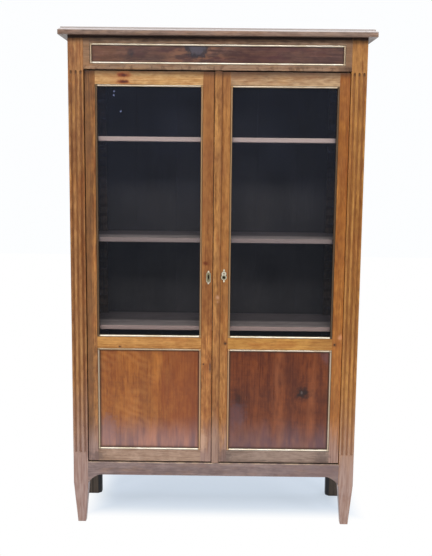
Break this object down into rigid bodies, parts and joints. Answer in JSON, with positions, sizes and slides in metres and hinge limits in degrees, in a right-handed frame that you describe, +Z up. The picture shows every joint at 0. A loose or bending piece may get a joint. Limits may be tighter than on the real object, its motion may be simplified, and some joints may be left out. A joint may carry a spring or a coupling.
{
  "type": "bookcase with glass doors",
  "caption": "Tall bookcase with glazed doors over wooden lower panels, brass fillets, fluted posts on tapered feet, and shelves on notched racks behind.",
  "frame": {"origin": "on the floor, under the middle of the whole bookcase's box", "axes": "+X to the right seen from the front, +Y to the back, +Z up; the doors are at the front, towards -Y"},
  "size_m": [1.218, 0.384, 2],
  "materials": {
    "carcase_wood": "old waxed fruitwood, orange-brown, greyer towards the feet",
    "door_wood": "old waxed fruitwood, golden to orange-brown",
    "door_panel_wood": "waxed figured panel, reddish brown",
    "frieze_panel_wood": "waxed dark figured panel",
    "cornice_wood": "waxed, greyed brown",
    "inner_wood": "dark stained softwood, matt",
    "shelf_wood": "plain boards, matt, paler at the front edge",
    "brass_fillet": "polished on the crest, dull in the corners",
    "aged_brass": "aged, greenish brown",
    "aged_iron": "dark, slightly rusty",
    "window_glass": "clear old sheet glass"
  },
  "bodies": {
    "carcase": {"back_boards": "inner_wood", "back_rails": "inner_wood", "bottom_bearers": "inner_wood", "bottom_board": "inner_wood", "carcase_screws": "aged_iron", "cornice_front": "cornice_wood", "cornice_returns": "cornice_wood", "door_stops": "inner_wood", "frieze_fillet": "brass_fillet", "frieze_frame": "carcase_wood", "frieze_panel": "frieze_panel_wood", "front_bottom_rail": "carcase_wood", "front_left_post": "carcase_wood", "front_right_post": "carcase_wood", "left_side_rails": "carcase_wood", "lower_shelf": "shelf_wood", "middle_shelf": "shelf_wood", "pivot_plates": "aged_brass", "rear_left_post": "carcase_wood", "rear_right_post": "carcase_wood", "right_side_rails": "carcase_wood", "shelf_cleats": "inner_wood", "shelf_racks": "inner_wood", "side_panels": "carcase_wood", "top_board": "inner_wood", "upper_shelf": "shelf_wood"},
    "left_door": {"bolt_plates": "aged_iron", "left_door_bottom_rail": "door_wood", "left_door_glass": "window_glass", "left_door_glass_fillet": "brass_fillet", "left_door_glazing_beads": "inner_wood", "left_door_hinge_stile": "door_wood", "left_door_lock_stile": "door_wood", "left_door_middle_rail": "door_wood", "left_door_panel": "door_panel_wood", "left_door_panel_fillet": "brass_fillet", "left_door_pivot_sockets": "aged_brass", "left_door_screws": "aged_iron", "left_door_top_rail": "door_wood", "left_keyhole_plate": "aged_brass", "lock_keeper": "aged_iron"},
    "right_door": {"closing_strip": "door_wood", "lock_case": "aged_iron", "right_door_bottom_rail": "door_wood", "right_door_glass": "window_glass", "right_door_glass_fillet": "brass_fillet", "right_door_glazing_beads": "inner_wood", "right_door_hinge_stile": "door_wood", "right_door_lock_stile": "door_wood", "right_door_middle_rail": "door_wood", "right_door_panel": "door_panel_wood", "right_door_panel_fillet": "brass_fillet", "right_door_pegs": "door_wood", "right_door_pivot_sockets": "aged_brass", "right_door_screws": "aged_iron", "right_door_top_rail": "door_wood", "right_keyhole_plate": "aged_brass"},
    "lock_bolt": {"lock_bolt": "aged_iron"},
    "top_bolt": {"top_bolt": "aged_iron"},
    "bottom_bolt": {"bottom_bolt": "aged_iron"}
  },
  "joints": [
    {"name": "left_door_hinge", "type": "hinge", "parent": "carcase", "child": "left_door", "pos_m": [-0.5045, -0.148, 1.05], "axis": [0, 0, -1], "range_deg": [0, 105]},
    {"name": "right_door_hinge", "type": "hinge", "parent": "carcase", "child": "right_door", "pos_m": [0.5045, -0.148, 1.05], "axis": [0, 0, 1], "range_deg": [0, 105]},
    {"name": "lock_bolt_slide", "type": "slide", "parent": "right_door", "child": "lock_bolt", "axis": [-1, 0, 0], "range_m": [0, 0.013]},
    {"name": "top_bolt_slide", "type": "slide", "parent": "left_door", "child": "top_bolt", "axis": [0, 0, 1], "range_m": [0, 0.012]},
    {"name": "bottom_bolt_slide", "type": "slide", "parent": "left_door", "child": "bottom_bolt", "axis": [0, 0, -1], "range_m": [0, 0.012]}
  ]
}
